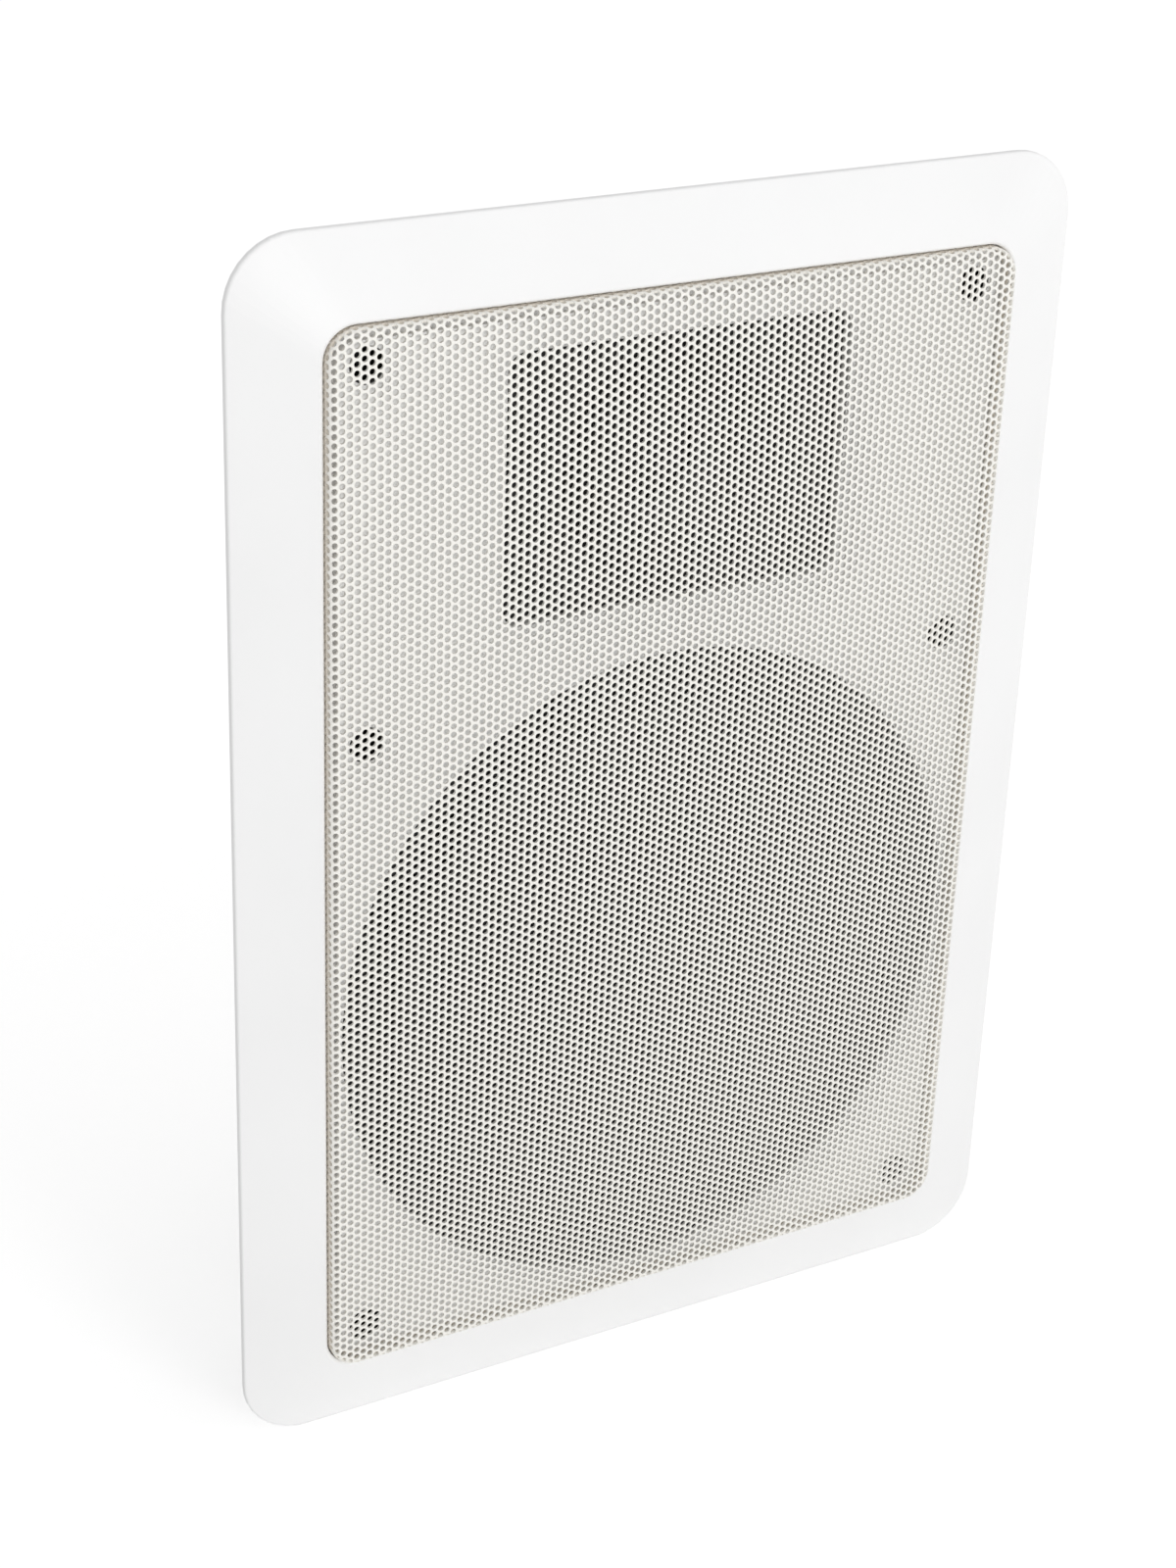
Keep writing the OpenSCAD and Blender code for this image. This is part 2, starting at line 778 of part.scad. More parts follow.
module tweeter_top_plate() {
    color("silver")
    at_tweeter()
        tube(tweeter_plate_r, dome_d / 2 + 0.6, motor_z - 0.6 - tweeter_plate_t, motor_z - 0.6);
}

module tweeter_magnet() {
    top = motor_z - 0.6 - tweeter_plate_t;
    color("dimgray")
    at_tweeter()
        tube(tweeter_magnet_d / 2, dome_d / 2 + 3, top - tweeter_magnet_t, top);
}

module tweeter_yoke() {
    top = motor_z - 0.6 - tweeter_plate_t - tweeter_magnet_t;
    color("silver")
    at_tweeter()
        rotate_extrude()
            polygon([[0, top - 4], [tweeter_magnet_d / 2 - 3, top - 4],
                [tweeter_magnet_d / 2 - 2, top - 3], [tweeter_magnet_d / 2 - 2, top],
                [dome_d / 2 - 0.8, top], [dome_d / 2 - 0.8, motor_z - 0.8], [0, motor_z - 0.8]]);
}

module tweeter_screws() {
    color("black")
    at_tweeter()
        for (sx = [-1, 1], sy = [-1, 1])
            translate([sx * window_screw_x, sy * window_screw_y, faceplate_z])
                mirror([0, 0, 1])
                    cross_screw(3, 2.2, 1.05, faceplate_t + 2.4);
}

/* Crossover */

board_t = 1.6;
board_x = 57;
board_pillar_x = pillar_x - 30;
pillar_dy = board_h / 2 - 5;
board_back = -board_depth - board_t;
board_screw_grip = 5;

module at_board() {
    upright()
        translate([board_x, tweeter_y, board_back])
            children();
}

module crossover_board() {
    color("darkgreen")
    at_board()
    difference() {
        rounded_block(board_w, board_h, 2, 0, board_t);
        for (x = [pillar_x - board_x, board_pillar_x - board_x], s = [-1, 1])
            translate([x, s * pillar_dy, -1])
                cylinder(h = board_t + 2, r = 1.6);
    }
}

choke_x = -2;
choke_y = -15;
choke_r = 14;
choke_in_r = 6;
choke_t = 12;
capacitor_r = 6.6;
capacitor_len = 21;
capacitor_y = 8;
capacitor_xs = [-13, 3];
resistor_at = [14.5, -30];
resistor_size = [6, 22, 7];

module crossover_coil() {
    color("chocolate")
    at_board()
        translate([choke_x, choke_y, 0])
            tube(choke_r, choke_in_r, -choke_t, 0);
}

module crossover_capacitors() {
    color("gold")
    at_board()
    for (x = capacitor_xs)
        translate([x, capacitor_y, -capacitor_r])
            rotate([-90, 0, 0])
                cylinder(h = capacitor_len, r = capacitor_r);
}

module crossover_resistor() {
    color("white")
    at_board()
        translate([resistor_at.x, resistor_at.y, -resistor_size.z])
            cube(resistor_size);
}

module crossover_screws() {
    color("silver")
    upright()
    for (x = [pillar_x, board_pillar_x], s = [-1, 1])
        translate([x, tweeter_y + s * pillar_dy, board_back])
            mirror([0, 0, 1])
                cross_screw(2.8, 2, 1.05, board_t + board_screw_grip);
}

terminal_x = 16;
terminal_y = 14;
terminal_w = 11;
terminal_h = 22;
terminal_t = 13;
entry = 5.4;

// Two-way block: wires enter from the outer side, screws clamp them from behind
module terminal_block() {
    color("black")
    at_board()
        translate([terminal_x, terminal_y, -terminal_t])
            difference() {
                translate([-terminal_w / 2, -terminal_h / 2, 0])
                    cube([terminal_w, terminal_h, terminal_t]);
                for (s = [-1, 1]) {
                    translate([-terminal_w / 2 + 2.5, s * terminal_h / 4 - entry / 2, 4])
                        cube([terminal_w, entry, entry]);
                    translate([-0.5, s * terminal_h / 4, -1])
                        cylinder(h = 6, r = 2.4);
                }
            }
}

module terminal_screws() {
    color("silver")
    at_board()
    for (s = [-1, 1])
        translate([terminal_x - 0.5, terminal_y + s * terminal_h / 4, -terminal_t + 0.8])
            difference() {
                cylinder(h = 3, r = 2.1);
                translate([-3, -0.4, -1])
                    cube([6, 0.8, 1.8]);
            }
}

// Round tube swept along a list of points
module sweep(path, r) {
    n = 8;
    m = len(path);
    function ahead(i) = path[min(i + 1, m - 1)] - path[max(i - 1, 0)];
    function unit(v) = v / norm(v);
    loops = [for (i = [0:m - 1])
        let (
            d = unit(ahead(i)),
            a = unit(cross(d, [1, 0, 0])),
            b = cross(d, a)
        )
        [for (j = [0:n - 1]) path[i] + r * (a * cos(j * 360 / n) + b * sin(j * 360 / n))]];
    polyhedron(
        points = [for (l = loops) each l],
        faces = concat(
            [[for (j = [0:n - 1]) j]],
            [for (i = [0:m - 2], j = [0:n - 1])
                [i * n + j, (i + 1) * n + j, (i + 1) * n + (j + 1) % n, i * n + (j + 1) % n]],
            [[for (j = [n - 1:-1:0]) (m - 1) * n + j]]
        )
    );
}

// Smooth curve through four control points
function bezier(p, steps) = [for (i = [0:steps])
    let (t = i / steps, s = 1 - t)
    s * s * s * p[0] + 3 * s * s * t * p[1] + 3 * s * t * t * p[2] + t * t * t * p[3]];

lead_r = 0.9;
lead_z = board_back - lead_r - 0.1;
woofer_lead_pitch = 8;
tweeter_lead_pitch = 8;
lead_fall = [0, -18, -3];
lead_arrival = [8, 26, -6];

module woofer_leads() {
    reach = ledge_in_r + tag_out;
    tag = [reach * cos(tag_angle), woofer_y + reach * sin(tag_angle), tag_z - strip_t - 1.9];
    side = [-sin(tag_angle), cos(tag_angle), 0] * tag_pitch / 2;
    color("crimson")
    upright()
    for (s = [-1, 1]) {
        start = [board_x - 8 + s * woofer_lead_pitch / 2, tweeter_y - board_h / 2 + 3, lead_z];
        stop = tag - s * side;
        sweep(bezier([start, start + lead_fall, stop + lead_arrival, stop], 14), lead_r);
    }
}

module tweeter_leads() {
    color("navy")
    upright()
    for (s = [-1, 1]) {
        side = s * tweeter_lead_pitch / 2;
        start = [board_x - board_w / 2 + 3, tweeter_y + 1.5 * side, lead_z];
        stop = [tweeter_plate_r - 0.15, tweeter_y + side, motor_z - 2.5];
        sweep(bezier([start, start + [-5, 0, -3], stop + [6, 0, 0], stop], 8), lead_r);
    }
}

/* Clamps */

arm_t = 9;
arm_rest_z = -(grip_max + arm_t + 2);
hub_r = 7;
bush_r = 3.6;
bush_flange_r = 5.6;
bush_flange_t = 1.6;

module clamp_screws() {
    color("black")
    upright()
    for (i = [0:5])
        at_clamp(i)
            translate([0, 0, head_seat_z])
                cross_screw(4.3, 3, screw_d / 2, screw_len);
}

module clamp_bush(i) {
    color("gold")
    upright()
    at_clamp(i)
        difference() {
            union() {
                translate([0, 0, arm_rest_z - bush_flange_t])
                    cylinder(h = arm_t + bush_flange_t, r = bush_r);
                translate([0, 0, arm_rest_z - bush_flange_t - 0.1])
                    cylinder(h = bush_flange_t, r = bush_flange_r);
            }
            translate([0, 0, arm_rest_z - 5])
                cylinder(h = arm_t + 10, r = screw_d / 2 + run_gap);
        }
}

// Swing-out arm with a toothed pad at its tip, drawn folded
module clamp_arm(i) {
    tip = arm_len - arm_w / 2;
    color("black")
    upright()
    at_clamp(i)
        rotate([0, 0, clamp_places[i][2]])
            translate([0, 0, arm_rest_z])
                difference() {
                    union() {
                        cylinder(h = arm_t, r = hub_r);
                        translate([0, -arm_w / 2, 0])
                            cube([tip, arm_w, arm_t - 3]);
                        translate([tip, 0, 0])
                            cylinder(h = arm_t - 3, r = arm_w / 2);
                        translate([0, -1.25, 0])
                            cube([tip, 2.5, arm_t - 1]);
                        for (k = [0:3])
                            translate([tip - 6 + 3 * k, -arm_w / 2 + 1.5, arm_t - 4])
                                cube([1.5, arm_w - 3, 3]);
                    }
                    translate([0, 0, -1])
                        cylinder(h = arm_t + 2, r = bush_r + run_gap);
                }
}

front_frame();
clamp_guides();
grille();
woofer_basket();
woofer_gasket();
woofer_surround();
woofer_cone();
dust_cap();
coil_former();
coil_winding();
woofer_spider();
top_plate();
ferrite_magnet();
woofer_yoke();
tag_strip();
woofer_screws();
tweeter_faceplate();
tweeter_dome();
tweeter_top_plate();
tweeter_magnet();
tweeter_yoke();
tweeter_screws();
crossover_board();
crossover_coil();
crossover_capacitors();
crossover_resistor();
crossover_screws();
terminal_block();
terminal_screws();
woofer_leads();
tweeter_leads();
clamp_screws();
clamp_bush(0);  // clamp_bush_1
clamp_bush(1);  // clamp_bush_2
clamp_bush(2);  // clamp_bush_3
clamp_bush(3);  // clamp_bush_4
clamp_bush(4);  // clamp_bush_5
clamp_bush(5);  // clamp_bush_6
clamp_arm(0);  // clamp_arm_1
clamp_arm(1);  // clamp_arm_2
clamp_arm(2);  // clamp_arm_3
clamp_arm(3);  // clamp_arm_4
clamp_arm(4);  // clamp_arm_5
clamp_arm(5);  // clamp_arm_6
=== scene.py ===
"""Dresses the flush-mounted loudspeaker: perforated grille, drivers, clamps and studio stage."""

import math

import bpy
import numpy as np
from mathutils import Matrix, Vector
from mathutils.geometry import delaunay_2d_cdt


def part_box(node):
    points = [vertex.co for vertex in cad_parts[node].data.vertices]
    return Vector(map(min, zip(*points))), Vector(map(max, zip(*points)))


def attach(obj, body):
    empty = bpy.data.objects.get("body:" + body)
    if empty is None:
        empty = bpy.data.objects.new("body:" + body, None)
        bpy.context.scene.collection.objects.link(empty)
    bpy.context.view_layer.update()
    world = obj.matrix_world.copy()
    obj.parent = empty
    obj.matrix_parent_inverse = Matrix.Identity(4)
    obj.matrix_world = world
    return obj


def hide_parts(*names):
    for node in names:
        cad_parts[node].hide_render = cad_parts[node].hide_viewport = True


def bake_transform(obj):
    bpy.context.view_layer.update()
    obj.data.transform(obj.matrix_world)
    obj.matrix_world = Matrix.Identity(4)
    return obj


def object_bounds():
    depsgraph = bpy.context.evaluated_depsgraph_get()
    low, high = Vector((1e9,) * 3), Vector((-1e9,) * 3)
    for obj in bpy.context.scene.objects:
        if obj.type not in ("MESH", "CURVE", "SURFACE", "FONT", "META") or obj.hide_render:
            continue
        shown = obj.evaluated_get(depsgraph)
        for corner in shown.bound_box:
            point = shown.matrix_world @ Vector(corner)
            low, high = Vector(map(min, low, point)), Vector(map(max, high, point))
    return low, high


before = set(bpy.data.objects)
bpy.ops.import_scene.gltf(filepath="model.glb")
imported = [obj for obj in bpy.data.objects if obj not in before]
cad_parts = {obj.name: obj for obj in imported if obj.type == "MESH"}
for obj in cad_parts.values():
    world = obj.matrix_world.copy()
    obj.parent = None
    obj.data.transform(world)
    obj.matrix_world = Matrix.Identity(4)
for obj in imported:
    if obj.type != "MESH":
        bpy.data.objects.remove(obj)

bl_info = {
    "name": "Flush-Mount Loudspeaker",
    "version": (1, 0, 0),
    "blender": (4, 5, 0),
    "location": "3D View > Sidebar > Speaker",
    "description": "Builds the finish, perforated grille and drivers of a flush-mount loudspeaker",
    "category": "Object",
}

MM = 0.001
CAD_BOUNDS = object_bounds()

# Places taken from the fixed frame, in metres. The face frame has x to the right, y up and
# z towards the room, which is the row frame's -Y.
GRILLE_LOW, GRILLE_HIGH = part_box("grille")
GRILLE_HALF_W = (GRILLE_HIGH.x - GRILLE_LOW.x) / 2
GRILLE_HALF_H = (GRILLE_HIGH.z - GRILLE_LOW.z) / 2
GRILLE_TOP = -GRILLE_LOW.y
GRILLE_FOOT = -GRILLE_HIGH.y


def node_centre(node):
    """Middle of a CAD node's box."""
    low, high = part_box(node)
    return (low + high) / 2


def node_radius(node):
    """Half the width of a round CAD node."""
    low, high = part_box(node)
    return (high.x - low.x) / 2


WOOFER_Z = node_centre("ferrite_magnet").z
CLAMPS = range(1, 7)
GLUE_RING = 4 * MM  # flat ring on which the surround is glued to the cone
GLUE_LINE = 0.05 * MM  # between round pieces that are glued into one another

# Where the two soft lights stand, and their diameters, in metres.
KEY_PLACE, KEY_SIZE = (0.45, -3.0, 0.35), 1.4
FILL_PLACE, FILL_SIZE = (1.8, -1.6, 0.4), 1.2
FLOOR_HALF = 6.0
FLOOR_GAP = 0.2 * MM
SENSOR_MM = 36


# Colours and node trees

def linear(hex_colour):
    """An sRGB hex string as linear red, green, blue and alpha."""
    parts = [int(hex_colour[i:i + 2], 16) / 255 for i in (0, 2, 4)]
    return [c / 12.92 if c <= 0.04045 else ((c + 0.055) / 1.055) ** 2.4 for c in parts] + [1.0]


def add_node(tree, kind, inputs=None, **settings):
    """Adds a node, applies its settings, and sets or links its inputs."""
    node = tree.nodes.new(kind)
    for name, value in settings.items():
        setattr(node, name, value)
    for key, value in (inputs or {}).items():
        if isinstance(value, bpy.types.NodeSocket):
            tree.links.new(value, node.inputs[key])
        else:
            node.inputs[key].default_value = value
    return node


def new_material(name):
    """An empty node material with its output, and object coordinates in metres."""
    material = bpy.data.materials.new(name)
    material.use_nodes = True
    tree = material.node_tree
    tree.nodes.clear()
    place = add_node(tree, "ShaderNodeTexCoord").outputs["Object"]
    return material, tree, place


def finish_material(material, tree, shader):
    """Joins the shader to the material's output."""
    add_node(tree, "ShaderNodeOutputMaterial", {"Surface": shader.outputs["BSDF"]})
    return material


def mottled(tree, place, low_hex, high_hex, size_mm, detail=3.0):
    """A colour that drifts between two close tones, with patches of the given size."""
    noise = add_node(tree, "ShaderNodeTexNoise",
                     {"Vector": place, "Scale": 1 / (size_mm * MM), "Detail": detail})
    ramp = add_node(tree, "ShaderNodeValToRGB", {"Fac": noise.outputs["Fac"]})
    ramp.color_ramp.elements[0].position = 0.3
    ramp.color_ramp.elements[0].color = linear(low_hex)
    ramp.color_ramp.elements[1].position = 0.7
    ramp.color_ramp.elements[1].color = linear(high_hex)
    return ramp.outputs["Color"]


def grain_height(tree, place, size_mm, detail=2.0):
    """A fine noise whose grains have the given size."""
    noise = add_node(tree, "ShaderNodeTexNoise",
                     {"Vector": place, "Scale": 1 / (size_mm * MM), "Detail": detail})
    return noise.outputs["Fac"]


def bumped(tree, height, depth_mm, strength):
    """A bumped normal from a height of 0 to 1."""
    bump = add_node(tree, "ShaderNodeBump",
                    {"Height": height, "Distance": depth_mm * MM, "Strength": strength})
    return bump.outputs["Normal"]


def spread(tree, value, low, high):
    """A 0 to 1 value mapped to a range, for roughness."""
    return add_node(tree, "ShaderNodeMapRange",
                    {"Value": value, "To Min": low, "To Max": high}).outputs["Result"]


def plain_finish(name, low_hex, high_hex, rough, patch_mm, grain_mm, depth_mm, strength=0.4,
                 **constants):
    """A material of two close tones with a fine grain, its other sockets held constant."""
    material, tree, place = new_material(name)
    grain = grain_height(tree, place, grain_mm)
    shader = add_node(tree, "ShaderNodeBsdfPrincipled", {
        "Base Color": mottled(tree, place, low_hex, high_hex, patch_mm),
        "Roughness": spread(tree, grain, rough - 0.06, rough + 0.06),
        "Normal": bumped(tree, grain, depth_mm, strength)})
    for socket, value in constants.items():
        shader.inputs[socket.replace("_", " ")].default_value = value
    return finish_material(material, tree, shader)


def white_abs(hex_colour):
    """Moulded ABS, spark-eroded finish: nearly white, with a soft broad sheen."""
    return plain_finish("moulded_white_abs", hex_colour, "FAFAFA", rough=0.46, patch_mm=60,
                        grain_mm=0.5, depth_mm=0.01, strength=0.25, IOR=1.54)


def powder_coat_and_side_shade(hex_colour, side_shade_hex):
    """Punched steel under a powder coat: warm white, with a faint orange peel.
    Its folded side is painted a creamier tone as painted shade, and the tone changes between two
    places along the row's Y."""
    face_y, side_y = -10.9 * MM, -9.4 * MM
    material, tree, place = new_material("powder_coat_and_side_shade")
    grain = grain_height(tree, place, 0.6)
    depth = add_node(tree, "ShaderNodeSeparateXYZ", {"Vector": place}).outputs["Y"]
    # Painted shade: from the face down to the folded side, the coat turns to the creamier side
    # shade colour.
    side = add_node(tree, "ShaderNodeMapRange",
                    {"Value": depth, "From Min": face_y, "From Max": side_y}).outputs["Result"]
    tones = {"Factor": side, "A": linear(hex_colour), "B": linear(side_shade_hex)}
    coat = add_node(tree, "ShaderNodeMix", tones, data_type="RGBA")
    shader = add_node(tree, "ShaderNodeBsdfPrincipled", {
        "Base Color": coat.outputs["Result"],
        "Roughness": spread(tree, grain, 0.42, 0.54),
        "Normal": bumped(tree, grain, 0.01, 0.3)})
    return finish_material(material, tree, shader)


def black_painted_steel():
    """Stamped steel under satin black paint: dark, with a soft orange peel."""
    return plain_finish("black_painted_steel", "17181A", "1F2022", rough=0.42, patch_mm=25,
                        grain_mm=0.8, depth_mm=0.015)


def pressed_paper():
    """Felted paper pulp: a matt charcoal with visible fibres."""
    material, tree, place = new_material("pressed_paper_pulp")
    fibre = add_node(tree, "ShaderNodeTexNoise",
                     {"Vector": place, "Scale": 1 / (1.2 * MM), "Detail": 6.0, "Distortion": 1.5})
    shader = add_node(tree, "ShaderNodeBsdfPrincipled", {
        "Base Color": mottled(tree, place, "1C1C1D", "2A2A2B", 4),
        "Roughness": spread(tree, fibre.outputs["Fac"], 0.75, 0.95),
        "Normal": bumped(tree, fibre.outputs["Fac"], 0.06, 0.6)})
    return finish_material(material, tree, shader)


def butyl_rubber():
    """Moulded butyl rubber: black, with a dull sheen."""
    return plain_finish("moulded_butyl_rubber", "141415", "1A1A1B", rough=0.55, patch_mm=12,
                        grain_mm=0.4, depth_mm=0.01)


def closed_cell_foam():
    """Die-cut foam: matt black with open pores."""
    return plain_finish("closed_cell_foam", "121213", "1D1D1E", rough=0.9, patch_mm=1.5,
                        grain_mm=0.5, depth_mm=0.12, strength=0.9)


def zinc_plated_steel():
    """Turned steel with bright zinc: a cool metal with a faint bloom."""
    return plain_finish("zinc_plated_steel", "B9BCBE", "CFD1D0", rough=0.3, patch_mm=6,
                        grain_mm=0.15, depth_mm=0.004, Metallic=1.0)


def bright_screw_steel():
    """Rolled screw steel with clear zinc: bright and slightly streaked."""
    return plain_finish("clear_zinc_screw_steel", "C4C5C2", "D8D8D3", rough=0.25, patch_mm=2,
                        grain_mm=0.1, depth_mm=0.003, Metallic=1.0)


def black_oxide_steel():
    """Screw steel with a black oxide: dark, with a sharp small glint."""
    return plain_finish("black_oxide_steel", "1B1B1C", "29292B", rough=0.34, patch_mm=2,
                        grain_mm=0.2, depth_mm=0.004, Metallic=0.6)


def ground_ferrite():
    """Sintered ferrite, ground: charcoal grey with fine chips."""
    return plain_finish("ground_ferrite", "35363A", "43444A", rough=0.62, patch_mm=5, grain_mm=0.5,
                        depth_mm=0.04, strength=0.7)


def turned_brass():
    """Turned brass: a warm metal with fine tool marks."""
    return plain_finish("turned_brass", "B99650", "CDAA63", rough=0.28, patch_mm=3, grain_mm=0.12,
                        depth_mm=0.003, Metallic=1.0)


def glass_filled_nylon():
    """Moulded nylon with glass fibre: black, with short pale streaks."""
    return plain_finish("glass_filled_nylon", "161617", "242426", rough=0.5, patch_mm=1.2,
                        grain_mm=0.4, depth_mm=0.02, strength=0.5)


def black_abs():
    """Moulded black ABS with a fine spark texture."""
    return plain_finish("moulded_black_abs", "0F0F10", "141415", rough=0.5, patch_mm=30,
                        grain_mm=0.4, depth_mm=0.02)


def solder_mask():
    """Glass-fibre board under a green mask: glossy, with a faint weave."""
    material, tree, place = new_material("green_solder_mask")
    weave = add_node(tree, "ShaderNodeTexChecker", {"Vector": place, "Scale": 1 / (0.9 * MM)})
    shader = add_node(tree, "ShaderNodeBsdfPrincipled", {
        "Base Color": mottled(tree, place, "10592B", "17683A", 14),
        "Roughness": spread(tree, weave.outputs["Fac"], 0.26, 0.34),
        "Normal": bumped(tree, weave.outputs["Fac"], 0.01, 0.3)})
    return finish_material(material, tree, shader)


def enamelled_copper(turn_mm):
    """Copper wire under clear enamel, wound in close turns; one band stands for two turns."""
    material, tree, place = new_material("enamelled_copper_wire")
    turns = add_node(tree, "ShaderNodeTexWave",
                     {"Vector": place, "Scale": 1 / (turn_mm * MM) / 20 * math.pi},
                     wave_type="BANDS", bands_direction="Y")
    shader = add_node(tree, "ShaderNodeBsdfPrincipled", {
        "Base Color": mottled(tree, place, "A4552A", "C4703C", 2),
        "Roughness": spread(tree, turns.outputs["Fac"], 0.22, 0.36),
        "Metallic": 1.0,
        "Normal": bumped(tree, turns.outputs["Fac"], 0.1, 0.6)})
    return finish_material(material, tree, shader)


def impregnated_cloth(name, low_hex, high_hex):
    """Woven cotton stiffened with resin: the threads show as a crossed grain 1 mm apart."""
    thread_scale = 1 / (0.5 * MM) / 6.28
    material, tree, place = new_material(name)
    warp, weft = (add_node(tree, "ShaderNodeTexWave", {"Vector": place, "Scale": thread_scale},
                           wave_type="BANDS", bands_direction=axis) for axis in "XZ")
    weave = add_node(tree, "ShaderNodeMath",
                     {0: warp.outputs["Fac"], 1: weft.outputs["Fac"]}, operation="MULTIPLY")
    shader = add_node(tree, "ShaderNodeBsdfPrincipled", {
        "Base Color": mottled(tree, place, low_hex, high_hex, 3),
        "Roughness": spread(tree, weave.outputs[0], 0.75, 0.92),
        "Sheen Weight": 0.15,
        "Normal": bumped(tree, weave.outputs[0], 0.08, 0.5)})
    return finish_material(material, tree, shader)


def printed_film():
    """Polyester film wound round a capacitor: glossy yellow over pale resin."""
    return plain_finish("capacitor_film_wrap", "C79A2B", "D6A93A", rough=0.28, patch_mm=8,
                        grain_mm=1.0, depth_mm=0.01, strength=0.2, IOR=1.57)


def resistor_cement():
    """Cast cement: chalky white with pits."""
    return plain_finish("resistor_cement", "D3D1C8", "E2E0D8", rough=0.85, patch_mm=2,
                        grain_mm=0.5, depth_mm=0.08, strength=0.8)


def phenolic_board():
    """Laminated phenolic paper: brown and waxy."""
    return plain_finish("phenolic_board", "5B3A20", "70492A", rough=0.42, patch_mm=3, grain_mm=0.4,
                        depth_mm=0.02)


def polyimide_film():
    """Wound polyimide film: translucent amber, taken as its solid colour."""
    return plain_finish("polyimide_film", "A9641C", "BC7628", rough=0.3, patch_mm=5, grain_mm=0.5,
                        depth_mm=0.01)


def pvc_insulation(name, low_hex, high_hex):
    """Extruded PVC on a lead: smooth and slightly waxy."""
    return plain_finish(name, low_hex, high_hex, rough=0.4, patch_mm=5, grain_mm=0.3,
                        depth_mm=0.005)


# Meshes

def face_point(x, y, z):
    """A point of the face frame in the row frame."""
    return (x, -z, y)


def link_mesh(name, points, faces, material, sharp_deg=35.0):
    """A new mesh object with smooth shading that breaks at sharp edges."""
    mesh = bpy.data.meshes.new(name)
    mesh.from_pydata(points, [], faces)
    mesh.validate()
    mesh.polygons.foreach_set("use_smooth", [True] * len(mesh.polygons))
    mesh.set_sharp_from_angle(angle=math.radians(sharp_deg))
    mesh.materials.append(material)
    piece = bpy.data.objects.new(name, mesh)
    bpy.context.scene.collection.objects.link(piece)
    return piece


def lathe(name, section, centre, material, steps, sharp_deg=35.0):
    """Revolves a closed section of (radius, height) points about an axis along the row's Y.
    The section runs counter-clockwise, with the radius to the right and the height up."""
    count = len(section)
    points = []
    for i in range(steps):
        turn = 2 * math.pi * i / steps
        points += [face_point(centre[0] + r * math.cos(turn), centre[1] + r * math.sin(turn), z)
                   for r, z in section]
    faces = []
    for i in range(steps):
        nxt = (i + 1) % steps
        for j in range(count):
            k = (j + 1) % count
            faces.append((i * count + j, i * count + k, nxt * count + k, nxt * count + j))
    return link_mesh(name, points, faces, material, sharp_deg)


def smooth_node(node, sharp_deg=30.0):
    """Lets a CAD node shade smoothly across its small facets; no point of it moves."""
    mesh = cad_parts[node].data
    custom = mesh.attributes.get("custom_normal")
    if custom:
        mesh.attributes.remove(custom)
    mesh.polygons.foreach_set("use_smooth", [True] * len(mesh.polygons))
    mesh.set_sharp_from_angle(angle=math.radians(sharp_deg))


def dress_node(node, material, sharp_deg=30.0):
    """Gives a CAD node its finish."""
    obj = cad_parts[node]
    obj.data.materials.clear()
    obj.data.materials.append(material)
    for face_slot in obj.material_slots:
        face_slot.material = material
    smooth_node(node, sharp_deg)


# The grille

def rounded_distance(points, half, radius):
    """Signed distance of points from a rounded rectangle, with its nearest points and normals."""
    core = np.array(half) - radius
    beyond = np.abs(points) - core
    outside = np.maximum(beyond, 0)
    length = np.linalg.norm(outside, axis=1)
    distance = length + np.minimum(beyond.max(axis=1), 0) - radius
    normal = np.sign(points) * outside / np.maximum(length, 1e-12)[:, None]
    return distance, points - normal * np.maximum(distance, 0)[:, None], normal


def outline_points(half, radius, step):
    """Points along a rounded rectangle, about a step apart, counter-clockwise."""
    core = np.array(half) - radius
    corners = [(1, 1, 0), (-1, 1, 90), (-1, -1, 180), (1, -1, 270)]
    arc_steps = max(6, round(radius * math.pi / 2 / step))
    loop = []
    for sx, sy, start in corners:
        for i in range(arc_steps + 1):
            a = math.radians(start + 90 * i / arc_steps)
            loop.append((sx * core[0] + radius * math.cos(a), sy * core[1] + radius * math.sin(a)))
    dense = []
    for i, p in enumerate(loop):
        q = loop[(i + 1) % len(loop)]
        parts = max(1, round(math.dist(p, q) / step))
        dense += [(p[0] + (q[0] - p[0]) * k / parts, p[1] + (q[1] - p[1]) * k / parts)
                  for k in range(parts)]
    return dense


class GrilleForm:
    """Turns the flat blank of the grille into its folded, crowned shape."""

    def __init__(self, settings):
        self.sheet = settings.sheet
        self.bend = settings.bend
        self.crown = settings.crown
        self.edge_z = GRILLE_TOP - settings.crown
        self.half = np.array([GRILLE_HALF_W, GRILLE_HALF_H])
        self.flat_half = self.half - self.bend
        self.flat_radius = settings.corner - self.bend
        self.arc = self.bend * math.pi / 2
        self.reach = self.arc + self.edge_z - self.bend - GRILLE_FOOT

    def crown_at(self, p):
        """Rise of the crown: square across the width and cubic along the height."""
        share = np.abs(p) / self.half
        return self.crown * (1 - share[:, 0] ** 2) * (1 - share[:, 1] ** 3)

    def place(self, blank, depth):
        """Face-frame points of the blank's points, at a depth under the outer face."""
        distance, near, normal = rounded_distance(blank, self.flat_half, self.flat_radius)
        over = np.maximum(distance, 0)
        turn = np.minimum(over / self.bend, math.pi / 2)
        drop = np.maximum(over - self.arc, 0)
        radius = self.bend - depth
        out = near + normal * (radius * np.sin(turn))[:, None]
        z = self.edge_z + self.crown_at(near) - self.bend + radius * np.cos(turn) - drop
        return np.column_stack([out, z])


